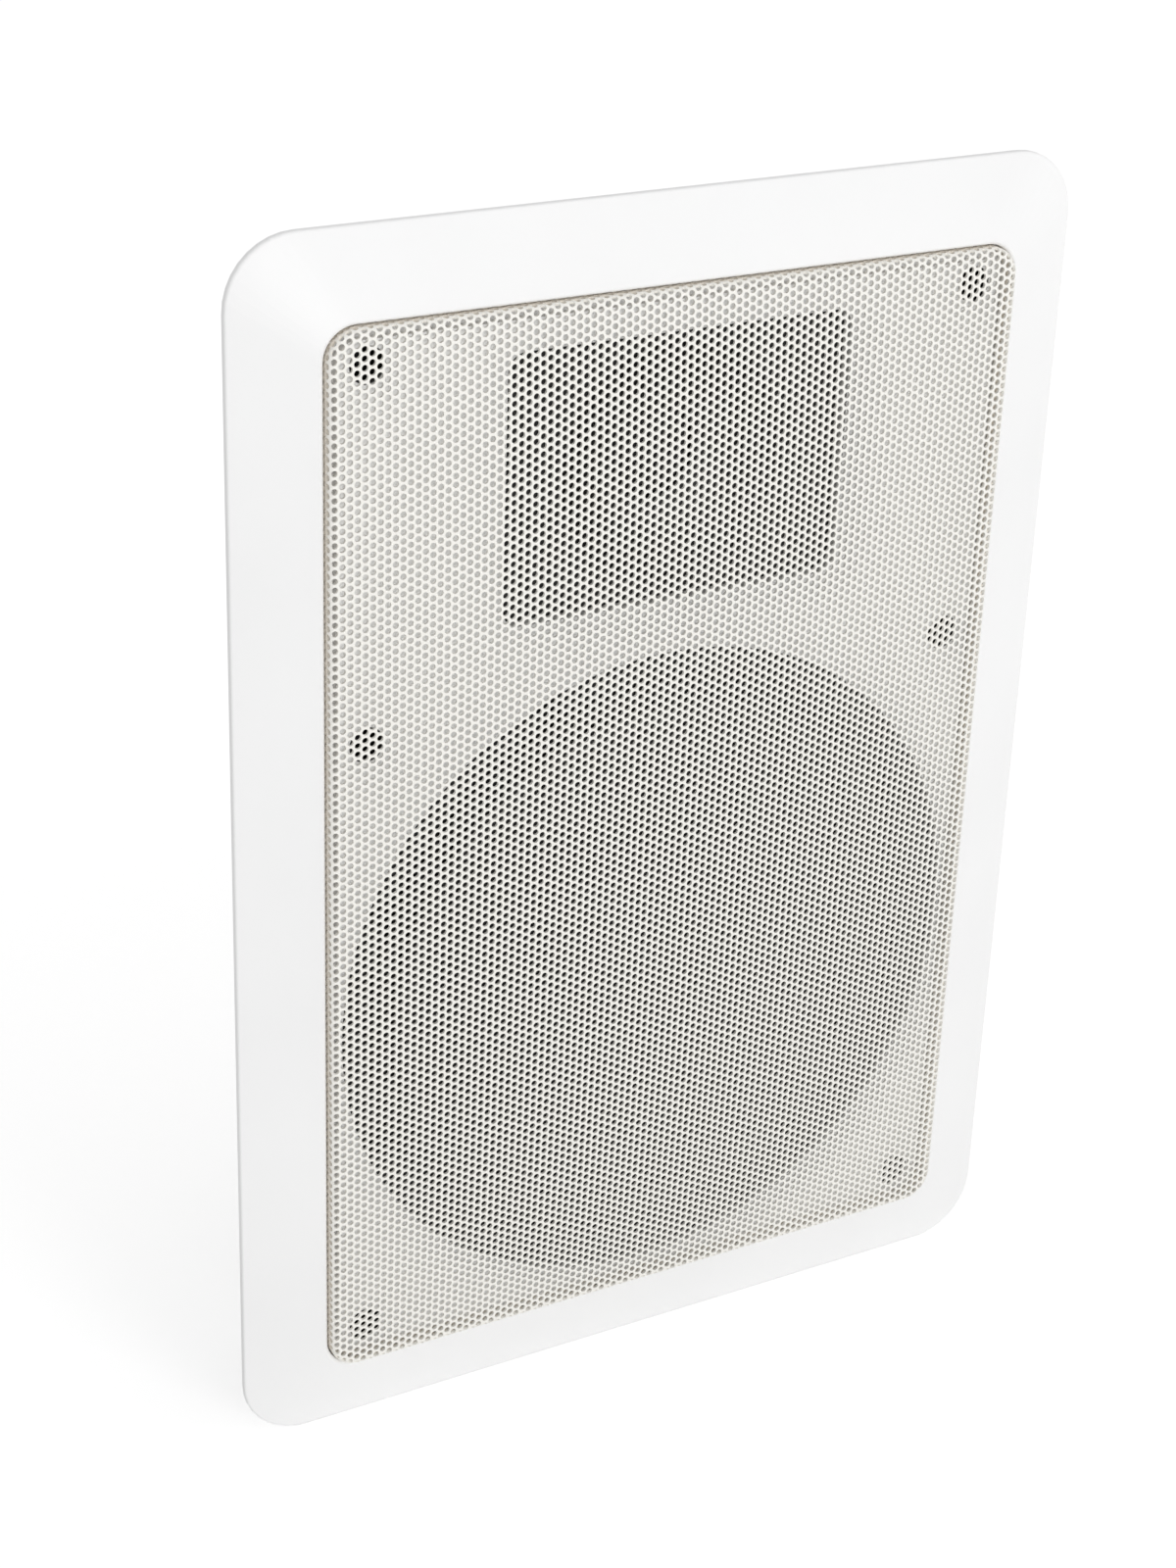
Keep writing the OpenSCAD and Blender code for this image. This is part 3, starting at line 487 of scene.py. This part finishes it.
def hole_centres(form, settings):
    """Centres of the holes on the flat blank, in staggered columns symmetric about the middle."""
    margin = 0.4 * MM
    pitch = settings.pitch
    column_step = pitch * math.sqrt(3) / 2
    half = form.flat_half + form.reach
    columns = int(half[0] / column_step) + 1
    rows = int(half[1] / pitch) + 1
    centres = []
    for c in range(-columns, columns):
        shift = pitch / 4 if c % 2 == 0 else -pitch / 4
        centres += [((c + 0.5) * column_step, k * pitch + shift) for k in range(-rows, rows + 1)]
    centres = np.array(centres)
    distance, _, _ = rounded_distance(centres, form.flat_half, form.flat_radius)
    return centres[distance < form.reach - settings.hole / 2 - margin]


def perforated_blank(form, settings):
    """Points and triangles of the flat blank with its holes open."""
    sides = settings.hole_sides
    centres = hole_centres(form, settings)
    turns = (np.arange(sides) + 0.5) * 2 * math.pi / sides
    ring = settings.hole / 2 * np.column_stack([np.cos(turns), np.sin(turns)])
    holes = (centres[:, None, :] + ring[None, :, :]).reshape(-1, 2)
    outline = outline_points(form.flat_half + form.reach, form.flat_radius + form.reach,
                             settings.pitch)
    points = [Vector(p) for p in holes] + [Vector(p) for p in outline]
    edges = []
    for h in range(len(centres)):
        edges += [(h * sides + k, h * sides + (k + 1) % sides) for k in range(sides)]
    first = len(holes)
    count = len(outline)
    edges += [(first + k, first + (k + 1) % count) for k in range(count)]
    found, _, faces, origin, _, _ = delaunay_2d_cdt(points, edges, [], 0, 1e-9, True)
    owner = np.array([(o[0] // sides if o and o[0] < first else -1) for o in origin])
    triangles = np.array([f for f in faces if len(f) == 3])
    corners = owner[triangles]
    in_hole = (corners == corners[:, :1]).all(axis=1) & (corners[:, 0] >= 0)
    return np.array([tuple(p) for p in found]), triangles[~in_hole], centres


def solid_from_sheet(name, form, blank, triangles, material):
    """A closed solid of one part of the sheet: outer face, inner face and every cut edge."""
    used, local = np.unique(triangles, return_inverse=True)
    tris = local.reshape(-1, 3)
    flat = blank[used]
    outer = form.place(flat, 0.0)
    inner = form.place(flat, form.sheet)
    count = len(used)
    edges = np.concatenate([tris[:, [0, 1]], tris[:, [1, 2]], tris[:, [2, 0]]])
    keys = edges[:, 0].astype(np.int64) * count + edges[:, 1]
    reverse = edges[:, 1].astype(np.int64) * count + edges[:, 0]
    rim = edges[~np.isin(keys, reverse)]
    walls = np.column_stack([rim[:, 1], rim[:, 0], rim[:, 0] + count, rim[:, 1] + count])
    points = np.concatenate([outer, inner])
    points = np.column_stack([points[:, 0], -points[:, 2], points[:, 1]])
    faces = [tuple(t) for t in tris.tolist()]
    faces += [tuple(t) for t in (tris[:, ::-1] + count).tolist()]
    faces += [tuple(w) for w in walls.tolist()]
    return link_mesh(name, points.tolist(), faces, material, sharp_deg=40.0)


class GrilleSettings(bpy.types.PropertyGroup):
    """Sizes of the perforated sheet."""
    pitch: bpy.props.FloatProperty(
        name="Hole Pitch", description="Distance between the centres of two holes in a column",
        default=2.5 * MM, min=2 * MM, max=10 * MM, unit="LENGTH")
    hole: bpy.props.FloatProperty(
        name="Hole Diameter", description="Diameter of each punched hole",
        default=1.84 * MM, min=1 * MM, max=8 * MM, unit="LENGTH")
    hole_sides: bpy.props.IntProperty(
        name="Hole Sides", description="Straight sides that stand for each round hole",
        default=12, min=6, max=24)
    sheet: bpy.props.FloatProperty(
        name="Sheet", description="Thickness of the steel", default=0.8 * MM, unit="LENGTH")
    bend: bpy.props.FloatProperty(
        name="Edge Bend", description="Outer radius of the fold along the edge",
        default=1.4 * MM, unit="LENGTH")
    corner: bpy.props.FloatProperty(
        name="Corner Radius", description="Radius of the folded corners",
        default=9.1 * MM, unit="LENGTH")
    crown: bpy.props.FloatProperty(
        name="Crown", description="Rise of the middle above the edge",
        default=4.7 * MM, unit="LENGTH")
    colour: bpy.props.StringProperty(
        name="Coat Colour", description="sRGB hex colour of the powder coat", default="F5F3ED")
    # Painted shade: the creamier colour of the folded side stands for its shade.
    side_shade_colour: bpy.props.StringProperty(
        name="Side Colour", description="sRGB hex colour of the folded side", default="EFE7DB")
    bands: bpy.props.IntProperty(
        name="Bands", description="Bands that the fine mesh is kept in", default=4, min=4, max=8)


class SPEAKER_OT_grille(bpy.types.Operator):
    """Build the folded, crowned grille with every one of its holes"""
    bl_idname = "speaker.grille"
    bl_label = "Perforated Grille"

    def execute(self, context):
        settings = context.scene.speaker_grille
        form = GrilleForm(settings)
        blank, triangles, centres = perforated_blank(form, settings)
        material = powder_coat_and_side_shade(settings.colour, settings.side_shade_colour)
        height = blank[triangles][:, :, 1].mean(axis=1)
        cuts = np.quantile(height, np.linspace(0, 1, settings.bands + 1))
        for band in range(settings.bands):
            last = band == settings.bands - 1
            inside = (height >= cuts[band]) & ((height < cuts[band + 1]) | last)
            piece = solid_from_sheet(f"grille_sheet_{band + 1}", form, blank, triangles[inside],
                                     material)
            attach(piece, "frame")
            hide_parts("grille")
        print("holes in the grille:", len(centres))
        return {"FINISHED"}


# The moulded frame

class FrameSettings(bpy.types.PropertyGroup):
    """Finish of the moulded frame."""
    colour: bpy.props.StringProperty(
        name="Frame Colour", description="sRGB hex colour of the moulding", default="F7F7F7")


class SPEAKER_OT_front_frame(bpy.types.Operator):
    """Finish the moulded front frame"""
    bl_idname = "speaker.front_frame"
    bl_label = "Front Frame"

    def execute(self, context):
        moulding = white_abs(context.scene.speaker_frame.colour)
        dress_node("front_frame", moulding, sharp_deg=25.0)
        dress_node("clamp_guides", moulding, sharp_deg=25.0)
        return {"FINISHED"}


# The woofer

def offset_section(line, thickness):
    """A closed section: a line of (radius, height) points, and the same line lowered."""
    return [(r, z - thickness) for r, z in line] + [(r, z) for r, z in reversed(line)]


def radial_blend(piece):
    """Bakes a ring's placement into its points."""
    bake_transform(piece)


class WooferSettings(bpy.types.PropertyGroup):
    """Sizes of the woofer's soft parts."""
    cone_ribs: bpy.props.IntProperty(
        name="Cone Ribs", description="Pressed rings on the cone", default=5, min=0, max=12)
    spider_waves: bpy.props.IntProperty(
        name="Spider Waves", description="Corrugations of the spider", default=6, min=3, max=10)
    rubber: bpy.props.FloatProperty(
        name="Rubber", description="Thickness of the surround", default=0.6 * MM, unit="LENGTH")


class SPEAKER_OT_woofer(bpy.types.Operator):
    """Build the cone, surround and spider, and finish the motor and basket"""
    bl_idname = "speaker.woofer"
    bl_label = "Woofer"

    def execute(self, context):
        settings = context.scene.speaker_woofer
        centre = (0.0, WOOFER_Z)
        self.build_cone(settings, centre)
        self.build_surround(settings, centre)
        self.build_spider(settings, centre)
        dress_node("dust_cap", pressed_paper(), sharp_deg=40.0)
        dress_node("woofer_basket", black_painted_steel())
        dress_node("woofer_gasket", closed_cell_foam())
        dress_node("coil_former", polyimide_film())
        dress_node("coil_winding", enamelled_copper(0.4))
        zinc = zinc_plated_steel()
        dress_node("top_plate", zinc)
        dress_node("woofer_yoke", zinc)
        dress_node("ferrite_magnet", ground_ferrite())
        dress_node("tag_strip", phenolic_board())
        dress_node("woofer_screws", black_oxide_steel())
        return {"FINISHED"}

    def build_cone(self, settings, centre):
        low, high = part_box("woofer_cone")
        edge_r = (high.x - low.x) / 2
        paper, neck_rise = 0.8 * MM, 1.04 * MM
        edge_z, neck_z = -low.y, -high.y + neck_rise
        neck_r = node_radius("coil_former") + GLUE_LINE
        glue_r = edge_r - GLUE_RING
        flare = 0.85  # under 1, so that the cone rises more steeply near its neck
        rib_start, rib_end, rib_depth = 0.35, 0.97, 0.35 * MM
        steps = 72
        line = []
        for i in range(steps + 1):
            share = i / steps
            z = neck_z + (edge_z - neck_z) * share ** flare
            ribbed = max(0.0, share - rib_start) / (1 - rib_start)
            rib = math.sin(math.pi * (settings.cone_ribs + 0.5) * ribbed) ** 8
            z -= rib_depth * rib * (rib_start < share < rib_end)
            line.append((neck_r + (glue_r - neck_r) * share, z))
        line.append((edge_r, edge_z))
        section = offset_section(line, paper)
        cone = lathe("cone", section, centre, pressed_paper(), steps=128, sharp_deg=50.0)
        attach(cone, "cone")
        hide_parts("woofer_cone")

    def build_surround(self, settings, centre):
        low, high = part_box("woofer_surround")
        outer_r = (high.x - low.x) / 2
        flange_z = -high.y
        inner_r = node_radius("woofer_cone")
        gasket_gap = 1.2 * MM
        roll_out = gasket_hole_radius() - gasket_gap
        middle, half = (inner_r + roll_out) / 2, (roll_out - inner_r) / 2
        t = settings.rubber
        rise = -low.y - flange_z - t
        outer = [(inner_r - GLUE_RING, flange_z + t)]
        steps = 28
        for i in range(steps + 1):
            a = math.pi * i / steps
            outer.append((middle - half * math.cos(a), flange_z + t + rise * math.sin(a)))
        outer.append((outer_r, flange_z + t))
        under = [(outer_r, flange_z), (roll_out - t, flange_z)]
        for i in range(1, steps):
            a = math.pi * (1 - i / steps)
            under.append((middle - (half - t) * math.cos(a), flange_z + rise * math.sin(a)))
        under += [(inner_r + t, flange_z), (inner_r - GLUE_RING, flange_z)]
        section = list(reversed(outer + under))
        surround = lathe("surround", section, centre, butyl_rubber(), steps=128, sharp_deg=50.0)
        radial_blend(surround)
        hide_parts("woofer_surround")

    def build_spider(self, settings, centre):
        low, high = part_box("woofer_spider")
        outer_r = (high.x - low.x) / 2
        weave, wave_height = 0.5 * MM, 1.2 * MM
        neck_band, foot_band = 3 * MM, 8.8 * MM  # flat at the coil former, and on the ledge
        flat_z = -(low.y + high.y) / 2 - 0.3 * MM + weave
        inner_r = node_radius("coil_former") + 2 * GLUE_LINE
        neck_r, flat_r = inner_r + neck_band, outer_r - foot_band
        steps = 20 * settings.spider_waves
        line = [(inner_r, flat_z)]
        for i in range(steps + 1):
            share = i / steps
            wave = math.sin(2 * math.pi * settings.spider_waves * share)
            line.append((neck_r + (flat_r - neck_r) * share, flat_z + wave_height * wave))
        line.append((outer_r, flat_z))
        cloth = impregnated_cloth("resin_cloth_spider", "A3793C", "B88B4B")
        section = offset_section(line, weave)
        spider = lathe("spider", section, centre, cloth, steps=96, sharp_deg=60.0)
        radial_blend(spider)
        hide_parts("woofer_spider")


def gasket_hole_radius():
    """Inner radius of the gasket, read from its points."""
    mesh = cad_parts["woofer_gasket"].data
    points = np.array([v.co for v in mesh.vertices])
    return float(np.hypot(points[:, 0], points[:, 2] - WOOFER_Z).min())


# The tweeter

class SPEAKER_OT_tweeter(bpy.types.Operator):
    """Finish the tweeter's faceplate, dome and motor"""
    bl_idname = "speaker.tweeter"
    bl_label = "Tweeter"

    def execute(self, context):
        dress_node("tweeter_faceplate", black_abs())
        silk = impregnated_cloth("coated_silk", "1A1A1C", "232326")
        dress_node("tweeter_dome", silk, sharp_deg=50.0)
        zinc = zinc_plated_steel()
        dress_node("tweeter_top_plate", zinc)
        dress_node("tweeter_yoke", zinc)
        dress_node("tweeter_magnet", ground_ferrite())
        dress_node("tweeter_screws", black_oxide_steel())
        return {"FINISHED"}


# The crossover

class SPEAKER_OT_crossover(bpy.types.Operator):
    """Finish the crossover board and what is soldered to it"""
    bl_idname = "speaker.crossover"
    bl_label = "Crossover"

    def execute(self, context):
        dress_node("crossover_board", solder_mask())
        dress_node("crossover_coil", enamelled_copper(0.8))
        dress_node("crossover_capacitors", printed_film())
        dress_node("crossover_resistor", resistor_cement())
        dress_node("crossover_screws", bright_screw_steel())
        dress_node("terminal_block", black_abs())
        dress_node("terminal_screws", bright_screw_steel())
        red = pvc_insulation("red_pvc_lead", "8E1A1A", "A32222")
        dress_node("woofer_leads", red, sharp_deg=60.0)
        blue = pvc_insulation("blue_pvc_lead", "1A2A6E", "22347F")
        dress_node("tweeter_leads", blue, sharp_deg=60.0)
        return {"FINISHED"}


# The clamps

class ClampSettings(bpy.types.PropertyGroup):
    """Sizes of the black sleeves in the screw recesses, which are painted shade."""
    sleeve_radius: bpy.props.FloatProperty(
        name="Sleeve Radius", description="Outer radius of the sleeve in each screw recess",
        default=5.2 * MM, unit="LENGTH")
    sleeve_wall: bpy.props.FloatProperty(
        name="Sleeve Wall", description="Wall of the sleeve", default=0.5 * MM, unit="LENGTH")
    sleeve_front: bpy.props.FloatProperty(
        name="Sleeve Front", description="Height of the sleeve's mouth above the board",
        default=7.7 * MM, unit="LENGTH")
    sleeve_back: bpy.props.FloatProperty(
        name="Sleeve Back", description="Height of the sleeve's foot above the board",
        default=-2.95 * MM, unit="LENGTH")


class SPEAKER_OT_clamps(bpy.types.Operator):
    """Build black recess sleeves as painted shade in the screw recesses, and finish the clamp
    screws, bushes and arms
    """
    bl_idname = "speaker.clamps"
    bl_label = "Clamps"

    def execute(self, context):
        settings = context.scene.speaker_clamps
        # Painted shade: a black sleeve lines each screw recess to darken it where there is only
        # shade.
        recess_shade_black = black_abs()
        wall = settings.sleeve_wall
        edge = wall / 4
        outer = settings.sleeve_radius
        front, back = settings.sleeve_front, settings.sleeve_back
        bore = outer - wall
        section = [(bore, back), (outer, back), (outer, front - edge),
                   (outer - edge, front), (bore + edge, front), (bore, front - edge)]
        for i in CLAMPS:
            middle = node_centre(f"clamp_bush_{i}")
            sleeve = lathe(f"recess_shade_sleeve_{i}", section, (middle.x, middle.z), recess_shade_black, steps=48)
            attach(sleeve, "frame")
        dress_node("clamp_screws", black_oxide_steel())
        brass = turned_brass()
        nylon = glass_filled_nylon()
        for i in CLAMPS:
            dress_node(f"clamp_bush_{i}", brass)
            dress_node(f"clamp_arm_{i}", nylon)
        return {"FINISHED"}


# The stage

class StageSettings(bpy.types.PropertyGroup):
    """Camera and light."""
    azimuth: bpy.props.FloatProperty(
        name="Azimuth", description="Angle of the view to the left of straight on",
        default=math.radians(30.135), subtype="ANGLE")
    elevation: bpy.props.FloatProperty(
        name="Elevation", description="Angle of the view down from level",
        default=math.radians(25.569), subtype="ANGLE")
    roll: bpy.props.FloatProperty(
        name="Roll", description="Tilt of the camera about its own line of sight",
        default=math.radians(2.137), subtype="ANGLE")
    distance: bpy.props.FloatProperty(
        name="Distance", description="From the camera to the point it looks at",
        default=0.8724, unit="LENGTH")
    aim: bpy.props.FloatVectorProperty(
        name="Aim", description="Point that the camera looks at", size=3,
        default=(-0.0214, -0.00075, 0.01178), subtype="XYZ_LENGTH")
    lens: bpy.props.FloatProperty(
        name="Lens", description="Focal length in mm on a 36 mm tall sensor", default=68.84)
    key_power: bpy.props.FloatProperty(
        name="Key Light", description="Power of the large soft light in front, in watts",
        default=30.0)
    fill_power: bpy.props.FloatProperty(
        name="Fill Light", description="Power of the soft light from the right, in watts",
        default=1.8)
    floor_lift: bpy.props.FloatProperty(
        name="Floor Lift", description="Light added to the floor where the camera sees it",
        default=0.4)
    sky: bpy.props.FloatProperty(
        name="Surround", description="Strength of the even light from all sides", default=0.645)


class SPEAKER_OT_stage(bpy.types.Operator):
    """Set up the floor, the soft lights, the white surround and the camera"""
    bl_idname = "speaker.stage"
    bl_label = "Stage"

    def execute(self, context):
        settings = context.scene.speaker_stage
        self.add_camera(settings)
        self.add_floor(settings)
        self.add_world(settings)
        self.add_light("key_light", KEY_PLACE, KEY_SIZE, settings.key_power)
        self.add_light("fill_light", FILL_PLACE, FILL_SIZE, settings.fill_power)
        context.scene.view_settings.view_transform = "Standard"
        return {"FINISHED"}

    def add_camera(self, settings):
        data = bpy.data.cameras.new("camera")
        data.sensor_fit = "VERTICAL"
        data.sensor_height = SENSOR_MM
        data.lens = settings.lens
        data.clip_start = 0.01
        camera = bpy.data.objects.new("camera", data)
        flat = math.cos(settings.elevation)
        towards = Vector((math.sin(settings.azimuth) * flat, math.cos(settings.azimuth) * flat,
                          -math.sin(settings.elevation)))
        turn = towards.to_track_quat("-Z", "Y").to_matrix().to_4x4()
        stand = Vector(settings.aim) - towards * settings.distance
        camera.matrix_world = (Matrix.Translation(stand)
                               @ turn @ Matrix.Rotation(settings.roll, 4, "Z"))
        bpy.context.scene.collection.objects.link(camera)
        bpy.context.scene.camera = camera

    def add_floor(self, settings):
        z = CAD_BOUNDS[0][2] - FLOOR_GAP
        corners = ((-1, -1), (1, -1), (1, 1), (-1, 1))
        points = [(x * FLOOR_HALF, y * FLOOR_HALF, z) for x, y in corners]
        material, tree, _ = new_material("white_floor")
        rays = add_node(tree, "ShaderNodeLightPath")
        lift = add_node(tree, "ShaderNodeMath",
                        {0: rays.outputs["Is Camera Ray"], 1: settings.floor_lift},
                        operation="MULTIPLY")
        shown = add_node(tree, "ShaderNodeEmission",
                         {"Color": [1, 1, 1, 1], "Strength": lift.outputs[0]})
        paint = add_node(tree, "ShaderNodeBsdfDiffuse", {"Color": linear("FAFAFA")})
        both = add_node(tree, "ShaderNodeAddShader", {0: paint.outputs[0], 1: shown.outputs[0]})
        add_node(tree, "ShaderNodeOutputMaterial", {"Surface": both.outputs[0]})
        floor = link_mesh("floor", points, [(0, 1, 2, 3)], material)

    def add_world(self, settings):
        world = bpy.data.worlds.new("white_surround")
        world.use_nodes = True
        tree = world.node_tree
        tree.nodes.clear()
        rays = add_node(tree, "ShaderNodeLightPath")
        seen = add_node(tree, "ShaderNodeMath",
                        {0: rays.outputs["Is Camera Ray"], 1: rays.outputs["Is Glossy Ray"]},
                        operation="MAXIMUM")
        strength = add_node(tree, "ShaderNodeMapRange",
                            {"Value": seen.outputs[0], "To Min": settings.sky, "To Max": 1.0})
        light = add_node(tree, "ShaderNodeBackground",
                         {"Color": [1, 1, 1, 1], "Strength": strength.outputs["Result"]})
        add_node(tree, "ShaderNodeOutputWorld", {"Surface": light.outputs[0]})
        bpy.context.scene.world = world

    def add_light(self, name, place, size, power):
        data = bpy.data.lights.new(name, "AREA")
        data.shape = "DISK"
        data.size = size
        data.energy = power
        light = bpy.data.objects.new(name, data)
        light.matrix_world = (Matrix.Translation(place)
                              @ (-Vector(place)).to_track_quat("-Z", "Y").to_matrix().to_4x4())
        bpy.context.scene.collection.objects.link(light)


class SPEAKER_PT_panel(bpy.types.Panel):
    """Sizes, colours and operators of the loudspeaker"""
    bl_label = "Loudspeaker"
    bl_idname = "SPEAKER_PT_panel"
    bl_space_type = "VIEW_3D"
    bl_region_type = "UI"
    bl_category = "Speaker"

    def draw(self, context):
        for name in GROUPS:
            group = getattr(context.scene, name)
            column = self.layout.column(align=True)
            for key in group.__annotations__:
                column.prop(group, key)
        for operator in OPERATORS:
            self.layout.operator(operator.bl_idname)


GROUPS = {"speaker_grille": GrilleSettings, "speaker_frame": FrameSettings,
          "speaker_woofer": WooferSettings, "speaker_clamps": ClampSettings,
          "speaker_stage": StageSettings}
OPERATORS = (SPEAKER_OT_front_frame, SPEAKER_OT_grille, SPEAKER_OT_woofer, SPEAKER_OT_tweeter,
             SPEAKER_OT_crossover, SPEAKER_OT_clamps, SPEAKER_OT_stage)


def register():
    for group in GROUPS.values():
        bpy.utils.register_class(group)
    for name, group in GROUPS.items():
        setattr(bpy.types.Scene, name, bpy.props.PointerProperty(type=group))
    for operator in OPERATORS:
        bpy.utils.register_class(operator)
    bpy.utils.register_class(SPEAKER_PT_panel)


def unregister():
    bpy.utils.unregister_class(SPEAKER_PT_panel)
    for operator in reversed(OPERATORS):
        bpy.utils.unregister_class(operator)
    for name, group in GROUPS.items():
        delattr(bpy.types.Scene, name)
        bpy.utils.unregister_class(group)


def main():
    register()
    bpy.ops.speaker.front_frame()
    bpy.ops.speaker.grille()
    bpy.ops.speaker.woofer()
    bpy.ops.speaker.tweeter()
    bpy.ops.speaker.crossover()
    bpy.ops.speaker.clamps()
    bpy.ops.speaker.stage()


if __name__ == "__main__":
    main()
